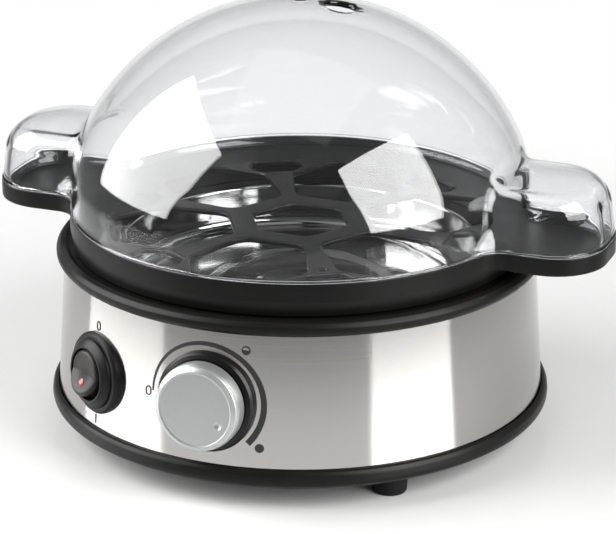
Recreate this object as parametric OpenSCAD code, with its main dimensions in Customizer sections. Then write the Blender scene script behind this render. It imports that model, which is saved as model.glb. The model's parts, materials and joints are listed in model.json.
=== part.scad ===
// Seven-egg cooker: heated base, lift-off egg tray and clear lift-off lid.
// The origin is on the table under the centre, +Z is up and the dial faces -Y.
// Angles around the base ("az") are counted from the dial, positive towards +X.

/* [Base] */
// Diameter over the bottom ring
base_d = 180; // [150:1:216]
// Height of the bottom ring's edge above the table
foot_h = 8; // [6:0.5:10]
// Height of the bottom ring's bead
ring_h = 7; // [6:0.5:9]
// How far the bottom ring stands out beyond the jacket
ring_proud = 2.5; // [1.5:0.1:3.5]
// Wall of the plastic mouldings
wall = 2; // [1.6:0.1:2.6]

/* [Jacket] */
// Visible height of the steel jacket
jacket_h = 47; // [39:0.1:57]
// How much the jacket's radius shrinks over that height
jacket_taper = 3.1; // [0:0.1:4]
// Sheet thickness of the jacket
jacket_t = 0.6; // [0.5:0.1:0.8]

/* [Top ring] */
// Height of the top ring's bead
bead_h = 5.6; // [5:0.1:7]
// How far the bead stands out beyond the jacket
bead_proud = 2.8; // [2:0.1:3.4]

/* [Heating pan] */
// Width of the pan's flange
pan_flange_w = 12; // [9:0.5:16]
// Inside depth of the pan below its flange
pan_depth = 15; // [12:0.5:17]
// Sheet thickness of the pan
pan_t = 1; // [0.8:0.1:1.2]
// Radius of the heating element's ring
element_r = 45; // [36:1:46]
// Diameter of the heating element's tube
element_d = 6.4; // [6:0.2:7]

/* [Egg tray] */
// Height of the tray's rim above its skirt's lower edge
tray_h = 11.8; // [11:0.2:14]
// Height of the tray's ears
ear_t = 6.5; // [5.5:0.1:7.5]
// Reach of an ear beyond the rim
ear_reach = 32.5; // [28:0.5:40]
// Width of an ear
ear_w = 47; // [40:1:54]
// Corner radius of an ear
ear_corner_r = 19; // [12:0.5:19.5]
// Radius of the hollow blend between an ear and the rim
ear_blend_r = 9; // [6:0.5:12]
// Depth of the egg deck below the rim
deck_drop = 5.9; // [5:0.1:7]
// Distance across the flats of the centre egg hole
centre_af = 32; // [28:0.5:36]
// Width of the webs between the egg holes
web = 8.7; // [7:0.1:11]
// Widest part of an outer egg hole
egg_hole_w = 44; // [36:0.5:46]
// Number of egg holes around the centre one
egg_ring_n = 6; // [6]

/* [Lid] */
// How much the crown's spherical radius exceeds the radius of the lid's wall
crown_extra = 5.4; // [2:0.1:8]
// Depth of the crown's centre below the rim
crown_drop = 12; // [8:0.5:20]
// Wall of the lid
lid_t = 2.2; // [1.8:0.1:2.6]
// Height of the lid's ears above the rim
lid_ear_h = 23.5; // [20:0.5:26]
// Edge rounding of the lid's ears
lid_ear_r = 9; // [5:0.5:10]
// Diameter of the steam vent
vent_d = 11.4; // [8:0.2:14]
// Distance of the steam vent from the lid's axis
vent_x = 14.2; // [10:0.2:24]

/* [Dial] */
// How far the dial sits below the middle of the jacket
dial_drop = 1.5; // [0:0.5:3]
// Diameter of the knob
knob_d = 30.2; // [26:0.2:34]
// Height of the knob's face above the jacket
knob_h = 10; // [9:0.2:14]
// Diameter of the knob's shaft
shaft_d = 6; // [5:0.1:6.4]
// Diameter of the collar behind the knob
collar_d = 35.2; // [34:0.2:37]

/* [Switch] */
// Angle of the switch around the base
switch_az = -33; // [-40:0.5:-30]
// How far the switch sits below the middle of the jacket
switch_drop = 3.5; // [0:0.5:4]
// Diameter of the switch's outer bezel
bezel_d = 29; // [28:0.5:32]
// Diameter of the switch's barrel
barrel_d = 20; // [19:0.2:21]
// Full swing of the rocker
rocker_swing = 22; // [16:1:24]

/* [Cord gland] */
// Bore for the mains lead
gland_bore_d = 6.8; // [5.5:0.1:7.5]
// How far the gland sits below the middle of the jacket
gland_drop = 10; // [6:0.5:11]

/* [Clearances] */
// Gap of a part that lifts off
lift_gap = 0.4; // [0.3:0.05:0.6]
// Gap of a part that is assembled and stays
fit_gap = 0.2; // [0.15:0.05:0.3]
// Radial gap of a shaft that turns
run_gap = 0.05; // [0.02:0.01:0.09]

/* [Hidden] */
$fn = 96;
fine_fn = 480;
eps = 0.01;
// Depth of a cutter that goes through a wall
reach = 12;

// Heights above the table
ring_top = foot_h + ring_h;
jacket_top = ring_top + jacket_h;
bead_top = jacket_top + bead_h;
rim_z = bead_top + tray_h;
ledge_drop = 3.6;
ledge_z = rim_z - ledge_drop;
deck_z = rim_z - deck_drop;
crown_z = rim_z - crown_drop;
panel_mid_z = ring_top + jacket_h / 2;
dial_z = panel_mid_z - dial_drop;
switch_z = panel_mid_z - switch_drop;
gland_z = panel_mid_z - gland_drop;

// Bottom ring and cover
groove_d = 3;
bead_bulge_r = 8;
bead_widest = 0.45;
ring_inset = 1.9 * wall;
ring_r = base_d / 2;
jacket_low_r = ring_r - ring_proud;
ring_inner_r = jacket_low_r - ring_inset;
flange_z = foot_h + ring_inset;
cover_t = 2.2;
cover_gap = 0.4;
cover_z = flange_z - cover_t;
flange_w = 16;
upstand_h = 9;
switch_clear = 1.5;
upstand_top = min(ring_top + upstand_h, switch_z - barrel_d / 2 - switch_clear);
relief = 1;

// Top ring
top_r = jacket_low_r - jacket_taper;
bead_r = bead_h / 2;
jacket_lap = 1;
jacket_room = 0.6;
pan_rebate = 5.8;
pan_ledge_w = 7.5;
face_drop = 0.6;
ring_skirt_h = 4;
skirt_r = top_r - jacket_t - jacket_room;
pan_ledge_r = skirt_r - pan_rebate;
pan_ledge_z = jacket_top + jacket_lap;
pan_ledge_in_r = pan_ledge_r - pan_ledge_w;
ring_face_z = bead_top - face_drop;
ring_skirt_z = jacket_top - ring_skirt_h;

// Screw posts that hang from the top ring
post_az = [68, 112, -112, -60];
post_r = 4;
post_inset = 3.5;
post_ring_r = pan_ledge_r - post_inset;
bar_az = [90, -90];
screw_r = 1.6;
screw_l = 12;
head_r = 3;
head_h = 1.6;
slot_l = 4;
slot_w = 0.8;
bar_screw_l = 9;
bar_head_h = 2;

// Feet
foot_az = [45, 165, -75];
foot_r = 6.4;
foot_taper = 0.4;
barb = 1;
foot_ring_r = ring_inner_r - foot_r - cover_gap;
stem_r = 2.4;

// Pan, element and the bar that clamps it
gasket_t = 1;
gasket_inset = 0.5;
pan_room = 1;
pan_corner_r = 3;
flange_pan_z = pan_ledge_z + gasket_t;
pan_floor_z = flange_pan_z - pan_depth;
pan_flange_r = pan_ledge_r - pan_room;
pan_r = pan_flange_r - pan_flange_w;
element_z = pan_floor_z - pan_t - element_d / 2;
bar_t = 1.2;
bar_w = 14;
bar_boss = 6;
bar_z = element_z - element_d / 2 - bar_t;
thermostat_r = 8;

// Tray
rim_inset = 2.4;
skirt_draft = 0.7;
lip_t = 1.3;
deck_inset = 12.6;
dish_inset = 4;
locate_inset = 2.5;
rim_r = top_r - rim_inset;
skirt_low_r = rim_r - skirt_draft;
deck_r = rim_r - deck_inset;
dish_r = rim_r - dish_inset;
locate_r = pan_flange_r - locate_inset;
ear_tip = rim_r + ear_reach;

// Holes of the tray: corner radii and the shares of a hole's width at its two ends
hole_edge = 0.9;
drain_l = 13;
hole_in = centre_af / 2 + web;
hole_out = deck_r - hole_edge;
drain_in = hole_out - drain_l;
centre_corner_r = 4;
egg_corner_r = 6;
egg_in_share = 0.52;
egg_out_share = 0.55;
egg_mid_shift = 2;
drain_corner_r = 2.5;
drain_in_w = 12;
drain_mid_w = 21;
drain_out_w = 16;
drain_mid_l = 6;
locate_hole_r = 1.4;
locate_hole_gap = 4;

// Lid
lid_inset = 0.6;
skirt_inset = lip_t + lift_gap;
lid_skirt_z = ledge_z + lift_gap;
shoulder_r = 40;
lid_r = rim_r - lid_inset;
crown_r = lid_r + crown_extra;
shoulder_a = acos((lid_r - shoulder_r) / (crown_r - shoulder_r));
shoulder_x = (crown_r - shoulder_r) * cos(shoulder_a);
shoulder_z = crown_z + (crown_r - shoulder_r) * sin(shoulder_a);
lid_top = crown_z + crown_r;
gate_r = 2.5;
seam_w = 0.2;
gate_h = 0.4;
vent_az = 10;

// Dial
jacket_tilt = atan(jacket_taper / jacket_h);
bushing_r = shaft_d / 2 + 1;
bushing_l = 5;
bushing_out = 1.8;
nut_w = 2.6;
nut_h = 1.7;
collar_h = 2.4;
collar_web = 1.6;
collar_edge = 0.8;
collar_recess = 4.2;
collar_low = 3;
knob_low = 3;
knob_edge_h = 1.4;
carrier_t = 1.6;
hub_w = 2.6;
shaft_end_gap = 0.6;
shaft_seat = 8;
knob_bevel = 2.2;
knob_wall = 1.5;
control_w = 30;
control_d = 15.5;
control_back = 19;
control_neck_r = 7;
control_gap = 0.4;
flat_depth = 1;
scale_r = 21;
scale_w = 2.2;
scale_start = 180;
scale_end = -42;
scale_steps = 36;
ink_t = 0.15;
scale_power = 0.5;
mark_r = 1.55;
mark_ring_r = 23.8;
half_mark_az = 55;
full_mark_az = -38;
line_w = 0.45;
nought_w = 2.3;
nought_h = 3.5;
dimple_r = 1.4;
dimple_az = -28;
dimple_inset = 5.7;
dimple_rise = 0.9;

// Switch
bezel_step = 2;
bezel_edge = 0.7;
bezel_low = 3;
barrel_flange_w = 2.2;
barrel_flange_h = 1.4;
barrel_edge = 0.3;
well_t = 0.9;
well_edge = 0.5;
well_room = 5;
switch_face_h = 5;
well_r = barrel_d / 2 - well_t;
rocker_gap = 0.7;
rocker_r = well_r - rocker_gap;
pivot_h = 2;
rocker_rise = 3.5;
rocker_low = 3.5;
rocker_edge = 0.6;
rocker_draft = 0.4;
trunnion_r = 1.2;
trunnion_gap = 0.15;
barrel_back = 18;
blade_l = 7;
blade_w = 4.8;
blade_t = 0.8;
blade_pitch = 5;
lamp_r = 1.6;
lamp_t = 1;
lamp_inset = 4.4;
switch_mark_y = 17;

// Cord gland
gland_r = gland_bore_d / 2;
gland_sleeve_t = 2.6;
gland_hole_w = 2.8;
gland_foot_w = 3.4;
gland_tip_w = 1.8;
gland_flange_w = 5.4;
gland_flange_low = 2;
gland_flange_h = 2.4;
gland_nose_h = 10;
gland_back = 9;
gland_nut_w = 6;
gland_nut_h = 3.4;
gland_nut_back = 8;

// Wiring
lead_r = 1.3;
sleeve_t = 0.3;
sleeve_r = lead_r + sleeve_t;
lead_rise = 6;
lead_inset = 4;
lead_z = flange_z + lead_rise;
lead_ring_r = post_ring_r - post_r - lead_inset;
pin_az = 18;
pin_r = 1;
pin_l = 15;
cold_end_h = 9;
pin_low_z = element_z - pin_l;
pin_lead_z = pin_low_z - lead_r - fit_gap;
block_w = 26;
block_d = 16;
block_h = 12;
block_gap = 0.6;
block_hole_r = 2;
block_pitch = 8;
block_floor = 4;
block_az = 180 - asin((block_w / 2 + block_gap) / lead_ring_r);

// Radius of the jacket's outside at a height
function jacket_r(z) = jacket_low_r - (z - ring_top) * jacket_taper / jacket_h;

// Height of the tray's upper surface between the flat deck and the ledge
function dish_z(r) = deck_z + (r - deck_r) * (ledge_z - deck_z) / (dish_r - deck_r);

// Point at a distance from the origin and an angle
function polar(r, a) = [r * cos(a), r * sin(a)];

// Places children on the jacket: x to the right, y up the wall, z straight out
module on_panel(az, z) {
  rotate([0, 0, az])
    translate([0, -jacket_r(z), z])
      rotate([90 - jacket_tilt, 0, 0])
        children();
}

// Copies children to each angle of a list, at a distance from the axis
module around(angles, r) {
  for (a = angles)
    rotate([0, 0, a])
      translate([0, -r, 0])
        children();
}

// Ring between two radii
module tube(r_out, r_in, h) {
  difference() {
    cylinder(r = r_out, h = h);
    translate([0, 0, -eps])
      cylinder(r = r_in, h = h + 2 * eps);
  }
}

// Cutter for a round hole through the wall
module through(r) {
  translate([0, 0, -reach])
    cylinder(r = r, h = 2 * reach);
}

// Conical layer that follows the jacket, from one offset of its surface to another
module jacket_layer(inner, outer, z0, z1) {
  rotate_extrude($fn = fine_fn)
    polygon([[jacket_r(z0) + inner, z0], [jacket_r(z0) + outer, z0],
             [jacket_r(z1) + outer, z1], [jacket_r(z1) + inner, z1]]);
}

// Everything inside the jacket's outer surface, used to fit parts to its curve
module jacket_core(z0, z1) {
  rotate_extrude($fn = fine_fn)
    polygon([[0, z0], [jacket_r(z0), z0], [jacket_r(z1), z1], [0, z1]]);
}

// Convex outline with rounded corners: tangent points plus a circle in each corner
module rounded(points, r) {
  n = len(points);
  prev = [for (i = [0:n - 1]) (points[(i + n - 1) % n] - points[i]) /
                              norm(points[(i + n - 1) % n] - points[i])];
  next = [for (i = [0:n - 1]) (points[(i + 1) % n] - points[i]) /
                              norm(points[(i + 1) % n] - points[i])];
  half = [for (i = [0:n - 1]) acos(prev[i] * next[i]) / 2];
  polygon([for (i = [0:n - 1]) for (k = [0, 1])
           points[i] + (k == 0 ? prev[i] : next[i]) * r / tan(half[i])]);
  for (i = [0:n - 1])
    translate(points[i] + (prev[i] + next[i]) / norm(prev[i] + next[i]) * r / sin(half[i]))
      circle(r = r);
}

// Ear without its blends, inset from the rim's outline
module ear_plan(inset) {
  hw = ear_w / 2 - inset;
  tip = ear_tip - inset;
  rc = ear_corner_r - inset;
  translate([0, -hw])
    square([tip - rc, 2 * hw]);
  translate([0, rc - hw])
    square([tip, 2 * (hw - rc)]);
  for (s = [-1, 1])
    translate([tip - rc, s * (hw - rc)])
      circle(r = rc);
}

// Hollow blends from the round rim into an ear's sides
module blend_plan(inset) {
  rf = ear_blend_r + inset;
  cy = ear_w / 2 - inset + rf;
  cx = sqrt(pow(rim_r - inset + rf, 2) - cy * cy);
  for (s = [0, 1])
    mirror([0, s])
      difference() {
        polygon([[0, 0], [cx, 0], [cx, cy]]);
        translate([cx, cy])
          circle(r = rf);
      }
}

// Whole outline of the rim with its two ears
module rim_plan(inset) {
  circle(r = rim_r - inset);
  for (a = [0, 180])
    rotate([0, 0, a]) {
      ear_plan(inset);
      blend_plan(inset);
    }
}

// Centre egg hole: a hexagon with a flat towards each outer hole
module centre_hole() {
  rounded([for (k = [0:egg_ring_n - 1]) polar(centre_af / 2 / cos(30), 60 * k)],
          centre_corner_r);
}

// Outer egg hole, in the sector along +X
module egg_hole() {
  mid = (hole_in + hole_out) / 2 + egg_mid_shift;
  hw = egg_hole_w / 2;
  low = hw * egg_in_share;
  high = hw * egg_out_share;
  rounded([[hole_in, -low], [hole_in, low], [mid, hw],
           [hole_out, high], [hole_out, -high], [mid, -hw]], egg_corner_r);
}

// Small drain opening between two outer egg holes, in the sector along +X
module drain_hole() {
  low = drain_in_w / 2;
  mid = drain_mid_w / 2;
  high = drain_out_w / 2;
  mid_r = drain_in + drain_mid_l;
  rounded([[drain_in, -low], [drain_in, low], [mid_r, mid],
           [hole_out, high], [hole_out, -high], [mid_r, -mid]], drain_corner_r);
}

module feet() {
  color([0.08, 0.08, 0.08])
    around(foot_az, foot_ring_r) {
      cylinder(r1 = foot_r - foot_taper, r2 = foot_r, h = cover_z);
      cylinder(r = stem_r, h = flange_z + wall);
      translate([0, 0, flange_z + wall])
        cylinder(r1 = stem_r + barb, r2 = stem_r - foot_taper, h = 2 * barb);
    }
}

module bottom_cover() {
  vent_l = 26;
  vent_w = 2.4;
  vent_pitch = 7;
  vent_side_n = 3;
  color([0.09, 0.09, 0.1])
    difference() {
      translate([0, 0, cover_z])
        cylinder(r = ring_inner_r - cover_gap, h = cover_t);
      around(post_az, post_ring_r) {
        cylinder(r = screw_r + fit_gap, h = flange_z + eps);
        translate([0, 0, cover_z - eps])
          cylinder(r = head_r + fit_gap, h = head_h / 2 + eps);
      }
      around(foot_az, foot_ring_r)
        cylinder(r = stem_r + eps, h = flange_z + eps);
      for (i = [-vent_side_n:vent_side_n])
        translate([i * vent_pitch - vent_w / 2, -vent_l / 2, cover_z - eps])
          cube([vent_w, vent_l, cover_t + 2 * eps]);
    }
}

module case_screws() {
  color([0.7, 0.7, 0.72])
    around(post_az, post_ring_r)
      translate([0, 0, cover_z + head_h / 2]) {
        cylinder(r = screw_r, h = screw_l);
        difference() {
          translate([0, 0, -head_h])
            cylinder(r = head_r, h = head_h);
          for (a = [0, 90])
            rotate([0, 0, a])
              translate([-slot_l / 2, -slot_w / 2, -head_h - eps])
                cube([slot_l, slot_w, slot_w]);
        }
      }
}

module base_ring() {
  color([0.1, 0.1, 0.11])
    difference() {
      union() {
        rotate_extrude() {
          intersection() {
            translate([ring_r - bead_bulge_r, foot_h + bead_widest * ring_h])
              circle(r = bead_bulge_r);
            translate([ring_inner_r, foot_h])
              square([bead_bulge_r * 2, ring_h]);
          }
          translate([ring_inner_r, foot_h])
            square([wall, upstand_top - foot_h]);
          translate([ring_inner_r - flange_w, flange_z])
            square([flange_w + eps, wall]);
        }
      }
      jacket_layer(-jacket_t - fit_gap, fit_gap * 2, ring_top - groove_d - fit_gap, upstand_top);
      around(post_az, post_ring_r)
        cylinder(r = post_r + fit_gap, h = upstand_top);
      around(foot_az, foot_ring_r)
        cylinder(r = stem_r + eps, h = upstand_top);
      on_panel(180, gland_z)
        through(gland_r + gland_foot_w);
      translate([0, 0, flange_z + wall])
        linear_extrude(upstand_top)
          translate([-control_w / 2 - relief, -ring_r])
            square([control_w + 2 * relief, ring_r / 2]);
    }
}

module steel_jacket() {
  color([0.72, 0.72, 0.72])
    difference() {
      jacket_layer(-jacket_t, 0, ring_top - groove_d, jacket_top + jacket_lap);
      on_panel(0, dial_z)
        through(bushing_r + fit_gap);
      on_panel(switch_az, switch_z)
        through(barrel_d / 2 + fit_gap);
      on_panel(180, gland_z)
        through(gland_r + gland_hole_w);
    }
}

module top_ring() {
  color([0.1, 0.1, 0.11])
    difference() {
      union() {
        rotate_extrude() {
          translate([top_r + bead_proud - bead_r, jacket_top + bead_r])
            circle(r = bead_r);
          translate([pan_ledge_r, jacket_top])
            square([top_r + bead_proud - bead_r - pan_ledge_r, ring_face_z - jacket_top]);
          translate([pan_ledge_in_r, pan_ledge_z - wall])
            square([skirt_r - pan_ledge_in_r, wall]);
          translate([skirt_r - wall, ring_skirt_z])
            square([wall, jacket_top - ring_skirt_z + eps]);
        }
        around(post_az, post_ring_r)
          translate([0, 0, flange_z])
            cylinder(r = post_r, h = pan_ledge_z - wall - flange_z + eps);
        around(bar_az, post_ring_r)
          translate([0, 0, bar_z + bar_t])
            cylinder(r = post_r, h = pan_ledge_z - wall - bar_z - bar_t + eps);
      }
      jacket_layer(-jacket_t - fit_gap, fit_gap, jacket_top - eps,
                   jacket_top + jacket_lap + fit_gap);
      around(post_az, post_ring_r)
        cylinder(r = screw_r, h = flange_z + screw_l + wall);
      around(bar_az, post_ring_r)
        cylinder(r = screw_r, h = bar_z + bar_screw_l + wall);
    }
}

module pan_gasket() {
  color([0.75, 0.3, 0.2])
    translate([0, 0, pan_ledge_z])
      tube(pan_flange_r - gasket_inset, pan_ledge_in_r + 3 * gasket_inset, gasket_t);
}

module heating_pan() {
  color([0.8, 0.8, 0.8])
    rotate_extrude()
      difference() {
        union() {
          translate([0, pan_floor_z - pan_t])
            square([pan_r + pan_t, pan_depth + 2 * pan_t]);
          translate([0, flange_pan_z])
            square([pan_flange_r, pan_t]);
        }
        translate([0, pan_floor_z])
          square([pan_r - pan_corner_r, pan_depth + 2 * pan_t]);
        translate([0, pan_floor_z + pan_corner_r])
          square([pan_r, pan_depth + 2 * pan_t]);
        translate([pan_r - pan_corner_r, pan_floor_z + pan_corner_r])
          circle(r = pan_corner_r);
      }
}

module heating_element() {
  color([0.35, 0.33, 0.32]) {
    rotate([0, 0, pin_az - 90])
      rotate_extrude(angle = 360 - 2 * pin_az)
        translate([element_r, element_z])
          circle(d = element_d);
    around([-pin_az, pin_az], element_r) {
      translate([0, 0, element_z - cold_end_h])
        cylinder(d = element_d - pin_r, h = cold_end_h);
      translate([0, 0, pin_low_z])
        cylinder(r = pin_r, h = pin_l - cold_end_h + pin_r);
    }
  }
}

module clamp_bar() {
  color([0.6, 0.6, 0.62])
    translate([0, 0, bar_z])
      difference() {
        union() {
          translate([-post_ring_r, -bar_w / 2, 0])
            cube([2 * post_ring_r, bar_w, bar_t]);
          around(bar_az, post_ring_r)
            cylinder(d = bar_w, h = bar_t);
          cylinder(r = thermostat_r + bar_boss, h = bar_t);
        }
        translate([0, 0, -eps])
          cylinder(r = thermostat_r - fit_gap, h = bar_t + 2 * eps);
        around(bar_az, post_ring_r)
          translate([0, 0, -eps])
            cylinder(r = screw_r + fit_gap, h = bar_t + 2 * eps);
      }
}

module bar_screws() {
  color([0.7, 0.7, 0.72])
    around(bar_az, post_ring_r) {
      translate([0, 0, bar_z - bar_head_h])
        cylinder(r = head_r, h = bar_head_h);
      translate([0, 0, bar_z - eps])
        cylinder(r = screw_r, h = bar_screw_l);
    }
}

module thermostat() {
  cap_z = bar_z + bar_t;
  rim_w = 3;
  can_h = 8;
  tab_x = 5;
  tab_w = 6.3;
  tab_h = 6.5;
  color([0.25, 0.22, 0.2]) {
    translate([0, 0, cap_z])
      cylinder(r = thermostat_r + rim_w, h = blade_t);
    translate([0, 0, cap_z])
      cylinder(r = thermostat_r, h = pan_floor_z - pan_t - cap_z);
    translate([0, 0, cap_z - can_h])
      cylinder(r = thermostat_r - 2 * fit_gap, h = can_h + eps);
    for (s = [-1, 1])
      translate([s * tab_x - blade_t / 2, -tab_w / 2, cap_z - can_h - tab_h + eps])
        cube([blade_t, tab_w, tab_h]);
  }
}

module thermal_fuse() {
  fuse_r = 2;
  fuse_l = 14;
  fuse_gap = 7;
  color([0.85, 0.8, 0.7])
    translate([thermostat_r + fuse_gap, 0, bar_z + bar_t + fuse_r])
      rotate([0, 90, 0])
        cylinder(r = fuse_r, h = fuse_l);
}

module control_body() {
  color([0.2, 0.2, 0.22])
    on_panel(0, dial_z)
      difference() {
        union() {
          translate([-control_w / 2, -control_w / 2, -control_back])
            cube([control_w, control_w, control_d]);
          translate([0, 0, -control_back + control_d - eps])
            cylinder(r = control_neck_r, h = control_back - control_d - jacket_t - control_gap);
          translate([0, 0, -bushing_l])
            cylinder(r = bushing_r, h = bushing_l + collar_web + bushing_out);
        }
        translate([0, 0, shaft_seat - control_back])
          cylinder(r = shaft_d / 2 + run_gap, h = control_back + knob_h);
      }
}

module control_shaft() {
  end_gap = 0.5;
  shaft_top = knob_h - knob_wall - shaft_end_gap;
  color([0.75, 0.75, 0.77])
    on_panel(0, dial_z)
      difference() {
        translate([0, 0, shaft_seat + end_gap - control_back])
          cylinder(d = shaft_d, h = control_back - shaft_seat - end_gap + shaft_top);
        translate([-shaft_d, shaft_d / 2 - flat_depth, knob_low + 1])
          cube([2 * shaft_d, shaft_d, knob_h]);
      }
}

module control_nut() {
  color([0.75, 0.75, 0.77])
    on_panel(0, dial_z)
      translate([0, 0, collar_web])
        difference() {
          cylinder(r = bushing_r + nut_w, h = nut_h, $fn = 6);
          translate([0, 0, -eps])
            cylinder(r = bushing_r, h = nut_h + 2 * eps);
        }
}

module dial_collar() {
  color([0.08, 0.08, 0.08])
    difference() {
      on_panel(0, dial_z)
        difference() {
          union() {
            translate([0, 0, -collar_low])
              cylinder(d = collar_d, h = collar_low + collar_h - collar_edge);
            translate([0, 0, collar_h - collar_edge])
              cylinder(d1 = collar_d, d2 = collar_d - 2 * collar_edge, h = collar_edge);
          }
          translate([0, 0, collar_web])
            cylinder(r = bushing_r + collar_recess, h = collar_h);
          through(bushing_r + fit_gap);
        }
      jacket_core(ring_top, jacket_top);
    }
}

// Ink laid on the jacket: a flat drawing pressed onto the curved wall
module printed(az, z) {
  intersection() {
    on_panel(az, z)
      translate([0, 0, -reach / 2])
        linear_extrude(reach)
          children();
    jacket_layer(0, ink_t, ring_top, jacket_top);
  }
}

// Crescent that widens from the off mark to the full mark
module crescent() {
  outer = [for (i = [0:scale_steps])
           polar(scale_r, scale_start + (scale_end - scale_start) * i / scale_steps)];
  inner = [for (i = [scale_steps:-1:0])
           polar(scale_r - scale_w * pow((i + 2) / (scale_steps + 2), scale_power),
                 scale_start + (scale_end - scale_start) * i / scale_steps)];
  polygon(concat(outer, inner));
}

// Upright bar with round ends
module oval(w, h) {
  square([w, h - w], center = true);
  for (s = [-1, 1])
    translate([0, s * (h - w) / 2])
      circle(d = w);
}

// Upright oval ring, a nought
module nought() {
  difference() {
    oval(nought_w, nought_h);
    oval(nought_w - 2 * line_w, nought_h - 2 * line_w);
  }
}

module dial_scale() {
  color([0.1, 0.1, 0.1])
    printed(0, dial_z) {
      crescent();
      translate([-scale_r - nought_w / 2 - line_w, -line_w])
        nought();
      translate(polar(mark_ring_r, full_mark_az))
        circle(r = mark_r);
      translate(polar(mark_ring_r, half_mark_az)) {
        difference() {
          circle(r = mark_r);
          circle(r = mark_r - line_w);
        }
        intersection() {
          circle(r = mark_r);
          translate([-mark_r, -mark_r])
            square([2 * mark_r, mark_r]);
        }
      }
    }
}

module knob_carrier() {
  top = knob_h - knob_wall - fit_gap;
  color([0.1, 0.1, 0.1])
    on_panel(0, dial_z)
      difference() {
        union() {
          translate([0, 0, knob_low + 1])
            cylinder(r = shaft_d / 2 + hub_w, h = top - knob_low - 1);
          translate([0, 0, top - carrier_t])
            cylinder(r = knob_d / 2 - knob_bevel - fit_gap, h = carrier_t);
        }
        difference() {
          translate([0, 0, knob_low])
            cylinder(r = shaft_d / 2 + eps, h = knob_h - knob_wall - shaft_end_gap + run_gap - knob_low);
          translate([-shaft_d, shaft_d / 2 - flat_depth + eps, 0])
            cube([2 * shaft_d, shaft_d, knob_h]);
        }
      }
}

module knob_cap() {
  r = knob_d / 2;
  color([0.68, 0.7, 0.7])
    on_panel(0, dial_z)
      difference() {
        union() {
          translate([0, 0, knob_low])
            cylinder(r = r, h = knob_h - knob_low - knob_edge_h);
          translate([0, 0, knob_h - knob_edge_h])
            cylinder(r1 = r, r2 = r - knob_bevel, h = knob_edge_h);
        }
        translate([0, 0, knob_low - eps])
          cylinder(r = r - knob_bevel, h = knob_h - knob_wall - knob_low + eps);
        rotate([0, 0, dimple_az])
          translate([r - dimple_inset, 0, knob_h + dimple_rise])
            sphere(r = dimple_r);
      }
}

module switch_bezel() {
  color([0.1, 0.1, 0.11])
    difference() {
      on_panel(switch_az, switch_z)
        difference() {
          union() {
            translate([0, 0, -bezel_low])
              cylinder(d = bezel_d, h = bezel_low + bezel_step - bezel_edge);
            translate([0, 0, bezel_step - bezel_edge])
              cylinder(d1 = bezel_d, d2 = bezel_d - 2 * bezel_edge, h = bezel_edge);
          }
          through(barrel_d / 2 + fit_gap);
        }
      jacket_core(ring_top, jacket_top);
    }
}

module switch_body() {
  flange_r = barrel_d / 2 + barrel_flange_w;
  flange_top = bezel_step + barrel_flange_h;
  color([0.12, 0.12, 0.13])
    on_panel(switch_az, switch_z)
      difference() {
        union() {
          translate([0, 0, -barrel_back])
            cylinder(d = barrel_d, h = barrel_back + bezel_step);
          translate([0, 0, bezel_step])
            cylinder(r = flange_r, h = barrel_flange_h);
          translate([0, 0, flange_top])
            cylinder(r1 = flange_r - barrel_edge, r2 = well_r + well_edge,
                     h = switch_face_h - flange_top);
        }
        translate([0, 0, pivot_h - rocker_low - well_room])
          cylinder(r = well_r, h = barrel_back + switch_face_h);
        translate([-barrel_d / 2 - eps, 0, pivot_h])
          rotate([0, 90, 0])
            cylinder(r = trunnion_r + run_gap, h = barrel_d + 2 * eps);
      }
}

module switch_terminals() {
  color([0.8, 0.7, 0.4])
    on_panel(switch_az, switch_z)
      for (i = [-1:1])
        translate([-blade_w / 2, i * blade_pitch - blade_t / 2, -barrel_back - blade_l])
          cube([blade_w, blade_t, blade_l]);
}

// Children in the rocker's own frame, tilted to its off position
module rocker_frame() {
  on_panel(switch_az, switch_z)
    translate([0, 0, pivot_h])
      rotate([-rocker_swing / 2, 0, 0])
        children();
}

module rocker() {
  shoulder = rocker_rise - rocker_edge;
  color([0.2, 0.19, 0.19])
    rocker_frame()
      difference() {
        union() {
          translate([0, 0, -rocker_low])
            cylinder(r = rocker_r - rocker_draft, h = rocker_low + shoulder);
          translate([0, 0, shoulder - eps])
            cylinder(r1 = rocker_r - rocker_draft, r2 = rocker_r - rocker_draft - rocker_edge,
                     h = rocker_edge);
          translate([trunnion_gap - barrel_d / 2, 0, 0])
            rotate([0, 90, 0])
              cylinder(r = trunnion_r, h = barrel_d - 2 * trunnion_gap);
        }
        translate([0, lamp_inset - rocker_r, rocker_rise - lamp_t])
          cylinder(r = lamp_r + eps, h = 2 * lamp_t);
      }
}

module rocker_lamp() {
  color([0.75, 0.12, 0.1])
    rocker_frame()
      translate([0, lamp_inset - rocker_r, rocker_rise - lamp_t])
        cylinder(r = lamp_r, h = lamp_t);
}

module switch_marks() {
  color([0.1, 0.1, 0.1])
    printed(switch_az, switch_z) {
      translate([0, switch_mark_y])
        nought();
      translate([0, -switch_mark_y])
        square([line_w, nought_h], center = true);
    }
}

module terminal_block() {
  color([0.9, 0.9, 0.86])
    rotate([0, 0, 180])
      translate([-block_w / 2, -lead_ring_r - block_d / 2, flange_z + wall])
        difference() {
          cube([block_w, block_d, block_h]);
          for (i = [-1:1])
            translate([block_w / 2 + i * block_pitch, block_d / 2, block_floor])
              cylinder(r = block_hole_r, h = block_h);
        }
}

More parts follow.
